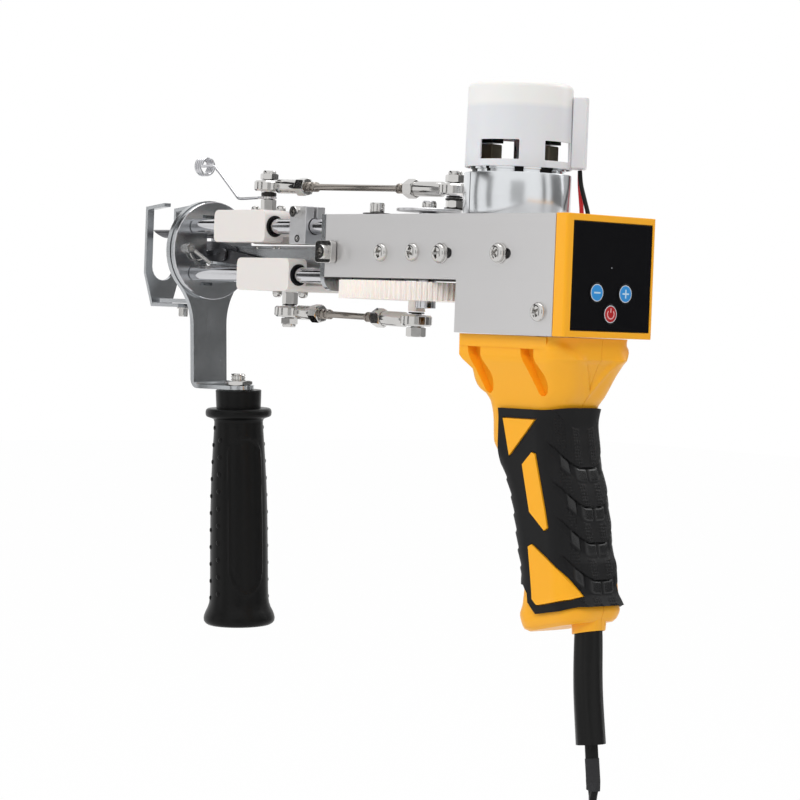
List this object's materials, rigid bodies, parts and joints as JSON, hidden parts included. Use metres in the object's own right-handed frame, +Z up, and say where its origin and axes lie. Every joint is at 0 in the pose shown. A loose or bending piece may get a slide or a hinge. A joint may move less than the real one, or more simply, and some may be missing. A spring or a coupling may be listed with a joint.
{
  "type": "handheld tufting machine",
  "caption": "Motor-driven hand tufting machine: geared cranks drive a hollow needle and a scissor blade along guide rods, with a pistol grip, hand lever and presser foot.",
  "frame": {"origin": "middle of the pistol grip, where the hand holds the machine", "axes": "+Z up along the motor, -X the way the needle points, +X to the switch panel, -Y the side with the small square clamp"},
  "size_m": [0.4002, 0.0848, 0.5222],
  "materials": {
    "zinc_sheet": "dull zinc-plated sheet",
    "plated_steel": "smooth plated steel with a faint blue cast",
    "polished_rod": "polished",
    "bright_nut": "bright plated fastener",
    "aluminium_block": "milled",
    "blade_steel": "dark ground blade",
    "white_slider": "milled white engineering plastic",
    "white_gear": "off-white engineering plastic",
    "white_cover": "satin white moulding",
    "yellow_shell": "satin yellow-orange moulding",
    "black_rubber": "matt soft black",
    "black_plastic": "satin black moulding",
    "black_panel": "gloss black film, bare of print",
    "blue_button": "satin",
    "red_button": "satin",
    "red_lead": "smooth insulation",
    "green_board": "varnished board"
  },
  "bodies": {
    "chassis": {"side_plate_left": "zinc_sheet", "side_plate_right": "zinc_sheet", "deck_plate": "zinc_sheet", "front_plate": "plated_steel", "shaft_block": "aluminium_block", "motor_block": "aluminium_block", "side_clamp": "bright_nut", "rear_cover": "yellow_shell", "control_panel": "black_panel", "circuit_board": "green_board", "motor_can": "black_plastic", "flux_ring": "plated_steel", "motor_cover": "white_cover", "wire_cover": "white_cover", "lead_red": "red_lead", "lead_black": "black_rubber", "grip_shell_left": "yellow_shell", "grip_shell_right": "yellow_shell", "rubber_grip": "black_rubber", "cable_sleeve": "black_rubber", "cable_lead": "black_rubber", "cable_hank": "black_rubber", "cable_plug": "black_plastic", "front_disc": "plated_steel", "guide_rod_upper_left": "polished_rod", "guide_rod_upper_right": "polished_rod", "guide_rod_lower_left": "polished_rod", "guide_rod_lower_right": "polished_rod", "rod_clamp": "aluminium_block", "blade_bar": "plated_steel", "fixed_blade": "blade_steel", "foot_arm": "plated_steel"},
    "drive_shaft": {"main_shaft": "polished_rod", "drive_gear": "white_gear", "crank_disc": "plated_steel"},
    "motor_rotor": {"motor_shaft": "polished_rod", "drive_pinion": "bright_nut"},
    "needle_carriage": {"needle_slider": "white_slider", "needle_arm": "bright_nut", "needle": "polished_rod", "upper_wrist_bolt": "bright_nut", "yarn_guide": "polished_rod"},
    "upper_rod": {"upper_rod_end_front": "bright_nut", "upper_rod_end_rear": "bright_nut", "upper_link": "polished_rod", "upper_crank_bolt": "bright_nut"},
    "scissor_carriage": {"scissor_slider": "white_slider", "lower_wrist_bolt": "bright_nut"},
    "lower_rod": {"lower_rod_end_front": "bright_nut", "lower_rod_end_rear": "bright_nut", "lower_link": "polished_rod", "lower_crank_bolt": "bright_nut"},
    "scissor_blade": {"moving_blade": "blade_steel"},
    "hand_lever": {"handle_bracket": "plated_steel", "bracket_stud": "bright_nut", "side_handle": "black_plastic"},
    "foot": {"presser_foot": "plated_steel"},
    "minus_key": {"button_minus": "blue_button"},
    "plus_key": {"button_plus": "blue_button"},
    "power_key": {"button_power": "red_button"}
  },
  "joints": [
    {"name": "drive_spin", "type": "hinge", "parent": "chassis", "child": "drive_shaft", "pos_m": [-0.095, 0, 0.0847], "axis": [0, 0, 1], "continuous": true},
    {"name": "motor_spin", "type": "hinge", "parent": "chassis", "child": "motor_rotor", "pos_m": [-0.0334, 0, 0.0847], "axis": [0, 0, 1], "continuous": true},
    {"name": "needle_slide", "type": "slide", "parent": "chassis", "child": "needle_carriage", "axis": [1, 0, 0], "range_m": [-0.0201, 0.0038]},
    {"name": "upper_rod_swing", "type": "hinge", "parent": "needle_carriage", "child": "upper_rod", "pos_m": [-0.2213, 0, 0.1375], "axis": [0, 0, 1], "range_deg": [-8.9, 1.2]},
    {"name": "scissor_slide", "type": "slide", "parent": "chassis", "child": "scissor_carriage", "axis": [1, 0, 0], "range_m": [0, 0.0158]},
    {"name": "lower_rod_swing", "type": "hinge", "parent": "scissor_carriage", "child": "lower_rod", "pos_m": [-0.2005, 0, 0.0728], "axis": [0, 0, 1], "range_deg": [-5.4, 3.9]},
    {"name": "blade_swing", "type": "hinge", "parent": "chassis", "child": "scissor_blade", "pos_m": [-0.2553, 0, 0.1017], "axis": [0, -1, 0], "range_deg": [0, 6]},
    {"name": "handle_swing", "type": "hinge", "parent": "chassis", "child": "hand_lever", "pos_m": [-0.2718, 0, 0.1037], "axis": [1, 0, 0], "range_deg": [-90, 90]},
    {"name": "foot_slide", "type": "slide", "parent": "chassis", "child": "foot", "axis": [1, 0, 0], "range_m": [-0.002, 0.0065]},
    {"name": "minus_press", "type": "slide", "parent": "chassis", "child": "minus_key", "axis": [-1, 0, 0], "range_m": [0, 0.0005], "stiffness_N_per_m": 800},
    {"name": "plus_press", "type": "slide", "parent": "chassis", "child": "plus_key", "axis": [-1, 0, 0], "range_m": [0, 0.0005], "stiffness_N_per_m": 800},
    {"name": "power_press", "type": "slide", "parent": "chassis", "child": "power_key", "axis": [-1, 0, 0], "range_m": [0, 0.0005], "stiffness_N_per_m": 800}
  ],
  "couplings": [
    {"joint": "motor_spin", "follows": "drive_spin", "ratio": -2.08},
    {"joint": "blade_swing", "follows": "scissor_slide", "rad_per_m": 6.627}
  ]
}
